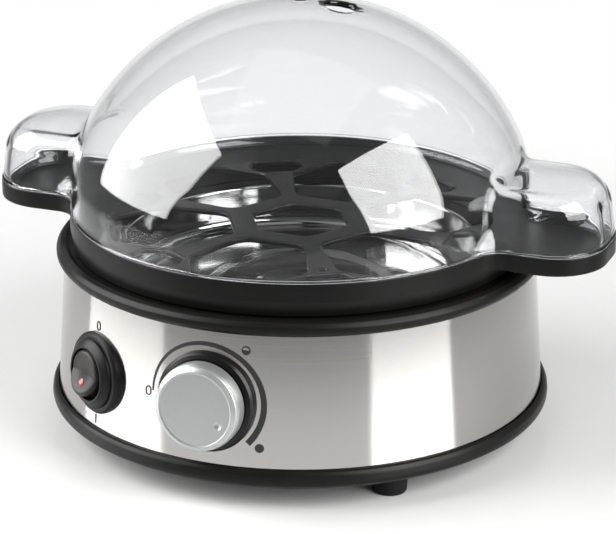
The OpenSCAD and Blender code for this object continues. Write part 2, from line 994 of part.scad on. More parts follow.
module cord_gland() {
  color([0.09, 0.09, 0.09])
    difference() {
      union() {
        difference() {
          on_panel(180, gland_z) {
            translate([0, 0, -gland_flange_low])
              cylinder(r = gland_r + gland_flange_w, h = gland_flange_low + gland_flange_h);
            cylinder(r1 = gland_r + gland_foot_w, r2 = gland_r + gland_tip_w, h = gland_nose_h);
          }
          jacket_core(ring_top - groove_d, jacket_top);
        }
        on_panel(180, gland_z)
          translate([0, 0, -gland_back])
            cylinder(r = gland_r + gland_sleeve_t, h = gland_back + gland_flange_low);
      }
      on_panel(180, gland_z)
        through(gland_r);
    }
}

module gland_nut() {
  color([0.09, 0.09, 0.09])
    on_panel(180, gland_z)
      translate([0, 0, -gland_nut_back])
        difference() {
          cylinder(r = gland_r + gland_nut_w, h = gland_nut_h, $fn = 6);
          translate([0, 0, -eps])
            cylinder(r = gland_r + gland_sleeve_t + eps, h = gland_nut_h + 2 * eps);
        }
}

// Lead along the inside of the base from az0 to az1, then up in a sleeve at az1
module lead(az0, az1, top_z) {
  rotate([0, 0, min(az0, az1) - 90])
    rotate_extrude(angle = abs(az1 - az0))
      translate([lead_ring_r, lead_z])
        circle(r = lead_r);
  around([az1], lead_ring_r)
    translate([0, 0, lead_z - sleeve_r])
      cylinder(r = sleeve_r, h = top_z - lead_z + sleeve_r);
}

module switch_lead() {
  lead_drop = 7;
  color([0.45, 0.25, 0.15])
    lead(-block_az, switch_az, switch_z - lead_drop);
}

module neutral_lead() {
  color([0.15, 0.3, 0.6]) {
    lead(block_az, pin_az, pin_lead_z);
    rotate([0, 0, pin_az])
      translate([0, -element_r, pin_lead_z])
        rotate([90, 0, 0])
          cylinder(r = lead_r, h = lead_ring_r - element_r);
  }
}

module heater_lead() {
  pin_x = element_r * sin(pin_az);
  pin_y = element_r * cos(pin_az);
  end_gap = 1.5;
  body_y = jacket_r(dial_z) - control_back - control_w / 2 * sin(jacket_tilt);
  color([0.6, 0.58, 0.55])
    translate([-pin_x, -pin_y, pin_lead_z])
      rotate([90, 0, 0])
        cylinder(r = lead_r, h = body_y - pin_y - end_gap);
}

module egg_tray() {
  cut_low = bead_top - 4;
  cut_h = rim_z - cut_low + 1;
  color([0.12, 0.12, 0.13])
    difference() {
      union() {
        translate([0, 0, bead_top])
          cylinder(r1 = skirt_low_r, r2 = rim_r, h = tray_h);
        translate([0, 0, rim_z - ear_t])
          linear_extrude(ear_t)
            rim_plan(0);
        translate([0, 0, flange_pan_z + pan_t])
          cylinder(r = locate_r, h = deck_z - flange_pan_z - pan_t - eps);
      }
      translate([0, 0, ledge_z])
        linear_extrude(ear_t)
          rim_plan(lip_t);
      rotate_extrude()
        polygon([[0, deck_z], [deck_r, deck_z], [dish_r, ledge_z], [dish_r, rim_z + 1],
                 [0, rim_z + 1]]);
      rotate_extrude()
        polygon([[locate_r, cut_low], [skirt_low_r - wall, cut_low],
                 [skirt_low_r - wall, ledge_z - wall], [dish_r, ledge_z - wall],
                 [locate_r, dish_z(locate_r) - wall]]);
      rotate_extrude()
        polygon([[0, flange_pan_z], [locate_r - wall, flange_pan_z],
                 [locate_r - wall, dish_z(locate_r - wall) - wall], [deck_r, deck_z - wall],
                 [0, deck_z - wall]]);
      translate([0, 0, cut_low]) {
        linear_extrude(cut_h)
          centre_hole();
        for (k = [0:egg_ring_n - 1]) {
          rotate([0, 0, 30 + 60 * k])
            linear_extrude(cut_h)
              egg_hole();
          rotate([0, 0, 60 * k])
            linear_extrude(cut_h)
              drain_hole();
        }
        rotate([0, 0, -60])
          translate([drain_in - locate_hole_gap, 0, 0])
            cylinder(r = locate_hole_r, h = cut_h);
      }
    }
}

// Region under the dome's profile, shrunk by a wall. A strip joins crown and shoulder.
module dome_profile(off, z0) {
  far = 2 * crown_r;
  translate([0, z0])
    square([lid_r - off, shoulder_z - z0]);
  intersection() {
    translate([shoulder_x, shoulder_z])
      circle(r = shoulder_r - off);
    translate([shoulder_x, shoulder_z])
      polygon([[0, 0], [far, 0], polar(far, shoulder_a)]);
  }
  intersection() {
    translate([0, crown_z])
      circle(r = crown_r - off);
    polygon([[0, shoulder_z - eps], [shoulder_x, shoulder_z],
             [shoulder_x, shoulder_z] + polar(far, shoulder_a), [0, far + crown_z]]);
  }
  translate([shoulder_x, shoulder_z])
    rotate([0, 0, shoulder_a])
      translate([shoulder_r / 2, -seam_w / 2])
        square([shoulder_r / 2 - off - seam_w, seam_w]);
}

// Lid ear: the plan cut by rounded profiles seen from the end and from the side
module lid_ear(inset, z0, top) {
  r = max(lid_ear_r - inset, 1);
  h = top - z0;
  hw = ear_w / 2 - inset;
  tip = ear_tip - inset;
  translate([0, 0, z0]) {
    linear_extrude(h - r)
      blend_plan(inset);
    intersection() {
      linear_extrude(h)
        ear_plan(inset);
      rotate([90, 0, 90])
        linear_extrude(tip + 1)
          union() {
            translate([-hw, 0])
              square([2 * hw, h - r]);
            translate([r - hw, 0])
              square([2 * (hw - r), h]);
            for (s = [-1, 1])
              translate([s * (hw - r), h - r])
                circle(r = r);
          }
      translate([0, hw + 1, 0])
        rotate([90, 0, 0])
          linear_extrude(2 * hw + 2)
            union() {
              square([tip, h - r]);
              square([tip - r, h]);
              translate([tip - r, h - r])
                circle(r = r);
            }
    }
  }
}

module lid() {
  inner = lid_inset + lid_t;
  ear_top = rim_z + lid_ear_h;
  color([0.85, 0.88, 0.9, 0.35])
    difference() {
      union() {
        rotate_extrude()
          dome_profile(0, rim_z);
        for (a = [0, 180])
          rotate([0, 0, a])
            lid_ear(lid_inset, rim_z, ear_top);
        translate([0, 0, lid_skirt_z])
          linear_extrude(rim_z - lid_skirt_z + eps)
            rim_plan(skirt_inset);
      }
      rotate_extrude()
        dome_profile(lid_t, lid_skirt_z - 1);
      for (a = [0, 180])
        rotate([0, 0, a])
          lid_ear(inner, lid_skirt_z - 1, ear_top - lid_t);
      rotate([0, 0, vent_az])
        translate([vent_x, 0, rim_z])
          cylinder(d = vent_d, h = crown_r);
      translate([0, 0, lid_top - gate_h])
        cylinder(r = gate_r, h = 2 * gate_h);
    }
}

feet();
bottom_cover();
case_screws();
base_ring();
steel_jacket();
top_ring();
pan_gasket();
heating_pan();
heating_element();
clamp_bar();
bar_screws();
thermostat();
thermal_fuse();
control_body();
control_shaft();
control_nut();
dial_collar();
dial_scale();
knob_carrier();
knob_cap();
switch_bezel();
switch_body();
switch_terminals();
rocker();
rocker_lamp();
switch_marks();
terminal_block();
cord_gland();
gland_nut();
switch_lead();
neutral_lead();
heater_lead();
egg_tray();
lid();
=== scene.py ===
"""Looks of the egg cooker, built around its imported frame. Lengths in tables are in millimetres."""

import json
import math

import bmesh
import bpy
import numpy as np
from mathutils import Matrix, Vector
from mathutils.geometry import delaunay_2d_cdt


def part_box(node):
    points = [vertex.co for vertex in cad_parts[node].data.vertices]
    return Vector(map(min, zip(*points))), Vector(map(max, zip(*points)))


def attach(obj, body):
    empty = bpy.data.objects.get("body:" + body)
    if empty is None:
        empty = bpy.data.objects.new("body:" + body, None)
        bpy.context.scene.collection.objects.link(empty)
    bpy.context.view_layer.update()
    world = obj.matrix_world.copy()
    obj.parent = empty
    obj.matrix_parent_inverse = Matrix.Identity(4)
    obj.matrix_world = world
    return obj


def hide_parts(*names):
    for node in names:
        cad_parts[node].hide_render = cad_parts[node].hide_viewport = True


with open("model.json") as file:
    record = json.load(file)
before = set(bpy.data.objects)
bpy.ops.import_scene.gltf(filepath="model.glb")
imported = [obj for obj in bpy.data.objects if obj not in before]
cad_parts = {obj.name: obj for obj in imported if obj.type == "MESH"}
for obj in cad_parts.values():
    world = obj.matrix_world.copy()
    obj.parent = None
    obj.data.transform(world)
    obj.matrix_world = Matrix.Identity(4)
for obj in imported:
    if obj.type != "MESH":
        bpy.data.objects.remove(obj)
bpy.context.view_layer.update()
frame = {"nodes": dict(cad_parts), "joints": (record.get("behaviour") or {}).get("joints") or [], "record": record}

MM = 0.001


def box_mm(node):
    """Lowest and highest corner of a CAD node, in millimetres."""
    low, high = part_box(node)
    return low / MM, high / MM


def joint(name):
    """Place in millimetres and direction of a joint of the frame."""
    found = next(j for j in frame["joints"] if j["name"] == name)
    return Vector(found["pos_m"]) / MM, Vector(found["axis"])


# ---------------------------------------------------------------- places taken from the frame

TRAY_LOW, TRAY_HIGH = box_mm("egg_tray")
LID_LOW = box_mm("lid")[0]
RIM_Z = TRAY_HIGH.z
RIM_R = TRAY_HIGH.y
EAR_TIP = TRAY_HIGH.x
BEAD_TOP = box_mm("top_ring")[1].z
BEAD_R = box_mm("top_ring")[1].y
JACKET_LOW, JACKET_HIGH = box_mm("steel_jacket")
BASE_R = box_mm("base_ring")[1].x
BASE_Z = box_mm("base_ring")[0].z
UPSTAND_TOP = box_mm("base_ring")[1].z
PAN_LOW, PAN_HIGH = box_mm("heating_pan")
COVER_LOW, COVER_HIGH = box_mm("bottom_cover")

DIAL_POS, DIAL_AXIS = joint("dial_turn")
ROCKER_POS = joint("rocker_tilt")[0]
MOUNTS = {m["name"]: m for m in frame["record"]["mounts"]}
GLAND_POS = Vector(MOUNTS["cord_gland"]["pos_m"]) / MM
GLAND_BORE_R = MOUNTS["cord_gland"]["dims"]["r_mm"]
FOOT_POS = Vector(MOUNTS["feet_plane"]["pos_m"]) / MM

TILT = math.asin(DIAL_AXIS.z)


def jacket_r(z):
    """Radius of the jacket's outside at a height."""
    return -DIAL_POS.y - (z - DIAL_POS.z) * math.tan(TILT)


def azimuth_of(point):
    """Angle round the base, counted from the dial towards +X."""
    return math.atan2(point.x, -point.y)


def panel(azimuth, z, out=0.0):
    """Frame on the jacket: x to the right, y up the wall, z straight out."""
    radius = jacket_r(z)
    turn = Matrix.Rotation(azimuth, 4, "Z")
    lean = Matrix.Rotation(math.pi / 2 - TILT, 4, "X")
    return turn @ Matrix.Translation((0, -radius, z)) @ lean @ Matrix.Translation((0, 0, out))


# ---------------------------------------------------------------- sizes that the looks share

EAR_HALF_W = 23.5
EAR_CORNER_R = 19
EAR_BLEND_R = 9
EAR_T = 6.5
LEDGE_Z = RIM_Z - 3.6
DECK_Z = RIM_Z - 5.9
DECK_R = RIM_R - 12.6
DISH_R = RIM_R - 4
DECK_T = 2
LIP_T = 1.3
SKIRT_LOW_R = RIM_R - 0.7

LID_INSET = 0.6
LID_T = 2.2
CROWN_Z = RIM_Z - 12
CROWN_SPREAD = 5.39
SHOULDER_R = 40
LID_EAR_TOP = RIM_Z + 23.5
LID_EAR_R = 6
LID_DRAFT = 0.05
LID_TIP_DRAFT = 0.09
LID_EAR_CROWN = 4
LID_CREASE_R = 2.5

SWITCH_AZ = azimuth_of(ROCKER_POS)
PIVOT_OUT = 2.0
SWITCH_Z = ROCKER_POS.z - PIVOT_OUT * math.sin(TILT)
ROCKER_REST = -11.0

# ---------------------------------------------------------------- mesh helpers


def arc_points(start, corner, end, radius, steps=5):
    """The rounded corner between two straight runs, as points."""
    a, b, c = (np.array(p[:2], float) for p in (start, corner, end))
    to_a, to_c = a - b, c - b
    len_a, len_c = np.linalg.norm(to_a), np.linalg.norm(to_c)
    to_a, to_c = to_a / len_a, to_c / len_c
    half = math.acos(max(-1.0, min(1.0, float(to_a @ to_c)))) / 2
    if half > math.pi / 2 - 0.02:
        return [b]
    cut = min(radius / math.tan(half), 0.49 * len_a, 0.49 * len_c)
    radius = cut * math.tan(half)
    middle = b + (to_a + to_c) / np.linalg.norm(to_a + to_c) * radius / math.sin(half)
    p, q = b + to_a * cut - middle, b + to_c * cut - middle
    angle = math.atan2(p[0] * q[1] - p[1] * q[0], p @ q)
    found = []
    for i in range(steps + 1):
        t = angle * i / steps
        turned = np.array([p[0] * math.cos(t) - p[1] * math.sin(t),
                           p[0] * math.sin(t) + p[1] * math.cos(t)])
        found.append(middle + turned)
    return found


def rounded(points, closed=True, steps=5):
    """An outline whose points may carry a corner radius as a third number."""
    count = len(points)
    out = []
    for i, p in enumerate(points):
        if len(p) < 3 or (not closed and i in (0, count - 1)):
            out.append(np.array(p[:2], float))
        else:
            out += arc_points(points[i - 1], p, points[(i + 1) % count], p[2], steps)
    return out


def smooth(mesh, crisp):
    """Shades a mesh smooth, save for edges that bend by more than an angle in degrees."""
    mesh.shade_smooth()
    mesh.set_sharp_from_angle(angle=math.radians(crisp))


def finish_mesh(name, verts, faces, body, material, slot, replaces=(), place=None, crisp=35,
                weighted=True):
    """Makes a piece from points in millimetres and hands it to its body."""
    mesh = bpy.data.meshes.new(name)
    points = [Vector(v) for v in verts]
    if place is not None:
        points = [place @ p for p in points]
    mesh.from_pydata([p * MM for p in points], [], faces)
    mesh.update()
    piece = bpy.data.objects.new(name, mesh)
    bpy.context.scene.collection.objects.link(piece)
    tidy = bmesh.new()
    tidy.from_mesh(mesh)
    bmesh.ops.remove_doubles(tidy, verts=tidy.verts, dist=2e-6)
    bmesh.ops.recalc_face_normals(tidy, faces=tidy.faces)
    tidy.to_mesh(mesh)
    tidy.free()
    smooth(mesh, crisp)
    mesh.materials.append(material)
    if weighted:
        flat = piece.modifiers.new("even_normals", "WEIGHTED_NORMAL")
        flat.keep_sharp = True
    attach(piece, body)
    if replaces:
        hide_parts(*replaces)
    return piece


def lathe_data(profile, segments, closed=True):
    """Points and faces of a profile of (radius, height) turned round the z axis."""
    verts, faces, rows = [], [], []
    for r, z in profile:
        if r < 1e-6:
            rows.append([len(verts)] * segments)
            verts.append((0, 0, z))
            continue
        rows.append(list(range(len(verts), len(verts) + segments)))
        for i in range(segments):
            a = 2 * math.pi * i / segments
            verts.append((r * math.cos(a), r * math.sin(a), z))
    pairs = list(zip(rows, rows[1:]))
    if closed:
        pairs.append((rows[-1], rows[0]))
    for low, high in pairs:
        for i in range(segments):
            k = (i + 1) % segments
            face = []
            for v in (low[i], low[k], high[k], high[i]):
                if v not in face:
                    face.append(v)
            if len(face) > 2:
                faces.append(face)
    return verts, faces


def several(parts):
    """Joins pairs of points and faces into one."""
    verts, faces = [], []
    for own_verts, own_faces in parts:
        start = len(verts)
        verts += list(own_verts)
        faces += [[start + v for v in f] for f in own_faces]
    return verts, faces


def moved(data, matrix):
    """Points and faces after a move."""
    verts, faces = data
    return [tuple(matrix @ Vector(v)) for v in verts], faces


def lathe(name, profile, body, material, slot, segments=192, closed=True, **rest):
    """A turned piece. A profile that starts and ends on the axis is left open there."""
    outline = rounded(profile, closed)
    verts, faces = lathe_data(outline, segments, closed)
    return finish_mesh(name, verts, faces, body, material, slot, **rest)


def cut(piece, verts, faces, place=None, crisp=35):
    """Takes a closed shape, in millimetres, out of a piece and shades it again."""
    mesh = bpy.data.meshes.new(piece.name + "_cutter")
    points = [Vector(v) for v in verts]
    if place is not None:
        points = [place @ p for p in points]
    mesh.from_pydata([p * MM for p in points], [], faces)
    tidy = bmesh.new()
    tidy.from_mesh(mesh)
    bmesh.ops.recalc_face_normals(tidy, faces=tidy.faces)
    tidy.to_mesh(mesh)
    tidy.free()
    mesh.shade_smooth()
    tool = bpy.data.objects.new(mesh.name, mesh)
    bpy.context.scene.collection.objects.link(tool)
    step = piece.modifiers.new("cut", "BOOLEAN")
    step.operation = "DIFFERENCE"
    step.solver = "EXACT"
    step.object = tool
    others = [m for m in piece.modifiers if m != step]
    for m in others:
        m.show_viewport = False
    bpy.context.view_layer.update()
    graph = bpy.context.evaluated_depsgraph_get()
    result = bpy.data.meshes.new_from_object(piece.evaluated_get(graph))
    for m in others:
        m.show_viewport = True
    piece.modifiers.remove(step)
    old = piece.data
    piece.data = result
    result.name = old.name
    smooth(result, crisp)
    bpy.data.meshes.remove(old)
    bpy.data.objects.remove(tool)
    bpy.data.meshes.remove(mesh)


# ---------------------------------------------------------------- material helpers


class Paint:
    """A node material with a Principled shader and short ways to feed it."""

    def __init__(self, name, colour, roughness, metallic=0.0, **sockets):
        self.material = bpy.data.materials.new(name)
        self.material.use_nodes = True
        self.nodes = self.material.node_tree.nodes
        self.links = self.material.node_tree.links
        self.nodes.clear()
        self.out = self.nodes.new("ShaderNodeOutputMaterial")
        self.shader = self.nodes.new("ShaderNodeBsdfPrincipled")
        self.links.new(self.shader.outputs[0], self.out.inputs["Surface"])
        self.shader.inputs["Base Color"].default_value = (*colour, 1)
        self.shader.inputs["Roughness"].default_value = roughness
        self.shader.inputs["Metallic"].default_value = metallic
        for socket, value in sockets.items():
            self.shader.inputs[socket.replace("_", " ")].default_value = value
        self.colour = colour
        self.roughness = roughness
        self.place = self.nodes.new("ShaderNodeTexCoord").outputs["Object"]

    def node(self, kind, **inputs):
        """A new node with its named inputs set or linked."""
        made = self.nodes.new(kind)
        for name, value in inputs.items():
            self.feed(made.inputs[name.replace("_", " ")], value)
        return made

    def feed(self, socket, value):
        """Links an output to a socket, or sets the socket to a constant."""
        if isinstance(value, bpy.types.NodeSocket):
            self.links.new(value, socket)
        else:
            socket.default_value = value

    def maths(self, operation, *values):
        """The result of a maths node."""
        made = self.nodes.new("ShaderNodeMath")
        made.operation = operation
        for socket, value in zip(made.inputs, values):
            self.feed(socket, value)
        return made.outputs[0]

    def noise(self, scale, detail=3.0, place=None, rough=0.55):
        """Noise over the object's own coordinates, or over another place."""
        made = self.node("ShaderNodeTexNoise", Scale=scale, Detail=detail, Roughness=rough,
                         Vector=self.place if place is None else place)
        return made.outputs["Fac"]

    def spread(self, value, low, high, start=0.3, end=0.7):
        """Maps a noise to the range from low to high."""
        made = self.node("ShaderNodeMapRange", Value=value)
        made.inputs["From Min"].default_value = start
        made.inputs["From Max"].default_value = end
        made.inputs["To Min"].default_value = low
        made.inputs["To Max"].default_value = high
        return made.outputs[0]

    def vary_roughness(self, value, amount):
        """Raises and lowers the roughness by an amount."""
        self.feed(self.shader.inputs["Roughness"],
                  self.spread(value, self.roughness - amount, self.roughness + amount))

    def vary_colour(self, value, share):
        """Lightens and darkens the base colour by a share."""
        mix = self.nodes.new("ShaderNodeMix")
        mix.data_type = "RGBA"
        self.feed(mix.inputs["Factor"], self.spread(value, 0, 1))
        mix.inputs[6].default_value = (*[c * (1 - share) for c in self.colour], 1)
        mix.inputs[7].default_value = (*[min(1.0, c * (1 + share)) for c in self.colour], 1)
        self.feed(self.shader.inputs["Base Color"], mix.outputs[2])

    def bump(self, value, distance, strength=1.0):
        """Raises the surface by a value, over a height in metres."""
        made = self.node("ShaderNodeBump", Height=value, Distance=distance, Strength=strength)
        self.feed(self.shader.inputs["Normal"], made.outputs[0])


def moulded(name, colour, roughness=0.42, grain=0.00002, scale=1500, **sockets):
    """Moulded plastic: a fine spark-eroded grain over faint flow marks."""
    paint = Paint(name, colour, roughness, **sockets)
    paint.vary_roughness(paint.noise(60, 4), 0.05)
    paint.vary_colour(paint.noise(35, 2), 0.1)
    paint.bump(paint.noise(scale, 2), grain, 0.35)
    return paint.material


def turned_place(paint, along, across):
    """Coordinates stretched round the z axis, for marks that run round the object."""
    split = paint.node("ShaderNodeSeparateXYZ", Vector=paint.place)
    x, y, z = split.outputs
    angle = paint.maths("ARCTAN2", y, x)
    made = paint.node("ShaderNodeCombineXYZ", X=paint.maths("MULTIPLY", angle, along),
                      Y=paint.maths("MULTIPLY", z, across))
    return made.outputs[0]


def brushed_round():
    """Stainless sheet brushed round the jacket."""
    paint = Paint("brushed_steel", (0.47, 0.457, 0.44), 0.13, 1.0, Anisotropic=0.9,
                  Anisotropic_Rotation=0.25)
    tangent = paint.nodes.new("ShaderNodeTangent")
    tangent.direction_type = "RADIAL"
    tangent.axis = "Z"
    paint.links.new(tangent.outputs[0], paint.shader.inputs["Tangent"])
    fine = paint.noise(1.0, 4, turned_place(paint, 3.0, 9000), 0.7)
    broad = paint.noise(1.0, 3, turned_place(paint, 1.2, 1400), 0.6)
    both = paint.maths("ADD", paint.maths("MULTIPLY", fine, 0.7), paint.maths("MULTIPLY", broad, 0.3))
    paint.vary_colour(both, 0.07)
    paint.vary_roughness(both, 0.04)
    paint.bump(both, 0.000006, 0.4)
    return paint.material


def pressed_aluminium():
    """Bright pressed sheet with faint turning marks and a soft bloom from use."""
    paint = Paint("pan_aluminium", (0.36, 0.36, 0.355), 0.08, 1.0)
    rings = paint.node("ShaderNodeVectorMath", Vector=paint.place)
    rings.operation = "LENGTH"
    marks = paint.noise(2200, 2, rings.outputs["Value"])
    bloom = paint.noise(45, 4)
    paint.vary_colour(bloom, 0.06)
    paint.vary_roughness(bloom, 0.04)
    paint.bump(marks, 0.000004, 0.2)
    return paint.material


def clear_plastic():
    """Polished clear plastic. Lamps shine through it, so what it covers is lit."""
    paint = Paint("lid_clear", (0.985, 0.99, 1.0), 0.015, 0.0, IOR=1.49)
    paint.shader.inputs["Transmission Weight"].default_value = 1.0
    paint.vary_roughness(paint.noise(25, 2), 0.01)
    paint.bump(paint.noise(28, 1), 0.0002, 0.12)
    path = paint.nodes.new("ShaderNodeLightPath")
    clear = paint.node("ShaderNodeBsdfTransparent", Color=(0.9, 0.91, 0.92, 1))
    mix = paint.nodes.new("ShaderNodeMixShader")
    paint.links.new(path.outputs["Is Shadow Ray"], mix.inputs[0])
    paint.links.new(paint.shader.outputs[0], mix.inputs[1])
    paint.links.new(clear.outputs[0], mix.inputs[2])
    paint.links.new(mix.outputs[0], paint.out.inputs["Surface"])
    return paint.material


def knob_paint():
    """Silver-grey satin lacquer with fine metal flakes."""
    paint = Paint("knob_silver", (0.40, 0.415, 0.41), 0.34, 0.75, Coat_Weight=0.2,
                  Coat_Roughness=0.2)
    flakes = paint.noise(5000, 2)
    paint.vary_colour(flakes, 0.06)
    paint.vary_roughness(paint.noise(80, 3), 0.04)
    paint.bump(flakes, 0.00001, 0.25)
    return paint.material


def plated(name, colour=(0.62, 0.62, 0.64), roughness=0.28):
    """Zinc-plated steel with cloudy variation."""
    paint = Paint(name, colour, roughness, 1.0)
    paint.vary_colour(paint.noise(300, 3), 0.12)
    paint.vary_roughness(paint.noise(150, 3), 0.08)
    paint.bump(paint.noise(1800, 2), 0.00001, 0.3)
    return paint.material


def lens_red():
    """Dark red lens of the lamp, glowing faintly."""
    paint = Paint("lamp_red", (0.16, 0.012, 0.01), 0.3, 0.0, Coat_Weight=0.3)
    paint.shader.inputs["Emission Color"].default_value = (0.9, 0.05, 0.03, 1)
    paint.shader.inputs["Emission Strength"].default_value = 0.02
    paint.vary_colour(paint.noise(600, 2), 0.15)
    return paint.material


def ink():
    """Screen-printed ink, slightly broken at its surface."""
    paint = Paint("print_black", (0.012, 0.012, 0.012), 0.5)
    paint.vary_roughness(paint.noise(2500, 3), 0.08)
    paint.vary_colour(paint.noise(2500, 3), 0.2)
    paint.bump(paint.noise(4000, 2), 0.00001, 0.3)
    return paint.material


PAINTS = {
    "rubber_black": moulded("rubber_black", (0.004, 0.004, 0.004), 0.6, 0.00003, 900,
                            Specular_IOR_Level=0.2),
    "plastic_black": moulded("plastic_black", (0.0042, 0.004, 0.0037), 0.38,
                             Specular_IOR_Level=0.16),
    "tray_black": moulded("tray_black", (0.0036, 0.0036, 0.0033), 0.36,
                          Specular_IOR_Level=0.2),
    "collar_black": moulded("collar_black", (0.003, 0.003, 0.0032), 0.30,
                            Specular_IOR_Level=0.25),
    "switch_black": moulded("switch_black", (0.004, 0.004, 0.0045), 0.42,
                            Specular_IOR_Level=0.22),
    "rocker_black": moulded("rocker_black", (0.008, 0.0068, 0.0062), 0.36,
                            Specular_IOR_Level=0.25),
    "inner_plastic": moulded("inner_plastic", (0.05, 0.05, 0.055), 0.5),
    "silicone": moulded("silicone", (0.36, 0.08, 0.04), 0.55, 0.00002, 700),
    "ceramic": moulded("ceramic", (0.72, 0.66, 0.54), 0.25, 0.00001, 500),
    "wire_brown": moulded("wire_brown", (0.12, 0.045, 0.02), 0.45),
    "wire_blue": moulded("wire_blue", (0.02, 0.07, 0.30), 0.45),
    "wire_grey": moulded("wire_grey", (0.24, 0.24, 0.22), 0.5),
    "thermostat_body": moulded("thermostat_body", (0.035, 0.03, 0.025), 0.5),
    "element_sheath": plated("element_sheath", (0.13, 0.11, 0.10), 0.45),
    "screw_steel": plated("screw_steel"),
    "plated_sheet": plated("plated_sheet", (0.55, 0.56, 0.57), 0.32),
    "brass_blade": plated("brass_blade", (0.70, 0.50, 0.22), 0.25),
    "brushed_steel": brushed_round(),
    "pan_aluminium": pressed_aluminium(),
    "knob_silver": knob_paint(),
    "lamp_red": lens_red(),
    "print_black": ink(),
    "lid_clear": clear_plastic(),
}

SLOT_OF = {s["node"]: s["material_slot"] for s in frame["record"]["subparts"]}
for node_name, node_object in frame["nodes"].items():
    node_object.data.materials.clear()
    node_object.data.materials.append(PAINTS[SLOT_OF[node_name]])


def dress(name, node, body, profile=None, data=None, **rest):
    """A better piece for one CAD node, with that node's finish."""
    slot = SLOT_OF[node]
    if data is not None:
        return finish_mesh(name, *data, body, PAINTS[slot], slot, replaces=(node,), **rest)
    return lathe(name, profile, body, PAINTS[slot], slot, replaces=(node,), **rest)


# ---------------------------------------------------------------- the rim's outline with its ears


def quarter_outline(inset, density):
    """Points of the rim from the middle of an ear's tip to the side, at an inset."""
    radius = RIM_R - inset
    corner_r = EAR_CORNER_R - inset
    blend_r = EAR_BLEND_R + inset
    half_w = EAR_HALF_W - inset
    tip = EAR_TIP - inset
    corner = (tip - corner_r, half_w - corner_r)
    blend_y = EAR_HALF_W + EAR_BLEND_R
    blend_x = math.sqrt((RIM_R + EAR_BLEND_R) ** 2 - blend_y ** 2)
    meet = math.atan2(blend_y, blend_x)
    points = []

    def line(a, b, steps):
        points.extend((a[0] + (b[0] - a[0]) * i / steps, a[1] + (b[1] - a[1]) * i / steps)
                      for i in range(steps))

    def arc(centre, r, start, end, steps):
        for i in range(steps):
            a = start + (end - start) * i / steps
            points.append((centre[0] + r * math.cos(a), centre[1] + r * math.sin(a)))

    line((tip, 0), (tip, corner[1]), 5 * density)
    arc(corner, corner_r, 0, math.pi / 2, 12 * density)
    line((corner[0], half_w), (blend_x, half_w), 8 * density)
    arc((blend_x, blend_y), blend_r, 1.5 * math.pi, math.pi + meet, 10 * density)
    arc((0, 0), radius, meet, math.pi / 2, 34 * density)
    points.append((0, radius))
    return np.array(points)


def outline(inset, density=1):
    """The whole rim, counted round from the middle of the +X ear's tip."""
    q = quarter_outline(inset, density)
    back = q[::-1]
    return np.vstack([q[:-1], (back * [-1, 1])[:-1], (-q)[:-1], (back * [1, -1])[:-1]])


def ring_at(radius, density=1):
    """A circle whose points lie at the same angles as the outline's."""
    p = outline(0, density)
    return p / np.linalg.norm(p, axis=1)[:, None] * radius


def strip(rings, first=0):
    """Quads between rings of equal length, from a list of (points, z)."""
    verts, faces = [], []
    count = len(rings[0][0])
    for points, z in rings:
        heights = np.broadcast_to(z, (count,))
        verts += [(p[0], p[1], h) for p, h in zip(points, heights)]
    for k in range(len(rings) - 1):
        low, high = first + k * count, first + (k + 1) * count
        for i in range(count):
            j = (i + 1) % count
            faces.append((low + i, low + j, high + j, high + i))
    return verts, faces


# ---------------------------------------------------------------- egg tray


def grown(loop, by):
    """A closed outline moved outwards along its normals."""
    points = np.array(loop, float)
    ahead, behind = np.roll(points, -1, 0), np.roll(points, 1, 0)
    along = ahead - behind
    normal = np.stack([along[:, 1], -along[:, 0]], 1)
    return points + normal / np.linalg.norm(normal, axis=1)[:, None] * by


def turned(loop, degrees):
    """An outline turned round the tray's middle."""
    a = math.radians(degrees)
    c, s = math.cos(a), math.sin(a)
    return np.array(loop, float) @ np.array([[c, s], [-s, c]])


def tray_holes():
    """Outlines of the tray's openings: seven for eggs, six drains and one small locating hole."""
    centre_af, web, egg_w = 32, 8.7, 44
    hole_in, hole_out = centre_af / 2 + web, DECK_R - 0.9
    drain_in = hole_out - 13
    middle, half = (hole_in + hole_out) / 2 + 2, egg_w / 2
    corner = centre_af / 2 / math.cos(math.radians(30))
    hexagon = [(corner * math.cos(k * math.pi / 3), corner * math.sin(k * math.pi / 3), 4)
               for k in range(6)]
    egg = [(hole_in, -half * 0.52, 6), (middle, -half, 6), (hole_out, -half * 0.55, 6),
           (hole_out, half * 0.55, 6), (middle, half, 6), (hole_in, half * 0.52, 6)]
    drain = [(drain_in, -6, 2.5), (drain_in + 6, -10.5, 2.5), (hole_out, -8, 2.5),
             (hole_out, 8, 2.5), (drain_in + 6, 10.5, 2.5), (drain_in, 6, 2.5)]
    dot = [(drain_in - 4 + 1.4 * math.cos(a), 1.4 * math.sin(a))
           for a in np.linspace(0, 2 * math.pi, 16, endpoint=False)]
    holes = [rounded(hexagon, steps=6)]
    for k in range(6):
        holes.append(turned(rounded(egg, steps=6), 30 + 60 * k))
        holes.append(turned(rounded(drain, steps=5), 60 * k))
    holes.append(turned(dot, -60))
    return [np.array(h) for h in holes]


def inside(loop, p):
    """True if a point is inside an outline."""
    x, y = p
    a, b = loop, np.roll(loop, -1, 0)
    crosses = (a[:, 1] > y) != (b[:, 1] > y)
    rise = np.where(b[:, 1] == a[:, 1], 1e-12, b[:, 1] - a[:, 1])
    return bool(np.sum(crosses & (x < (b[:, 0] - a[:, 0]) * (y - a[:, 1]) / rise + a[:, 0])) % 2)


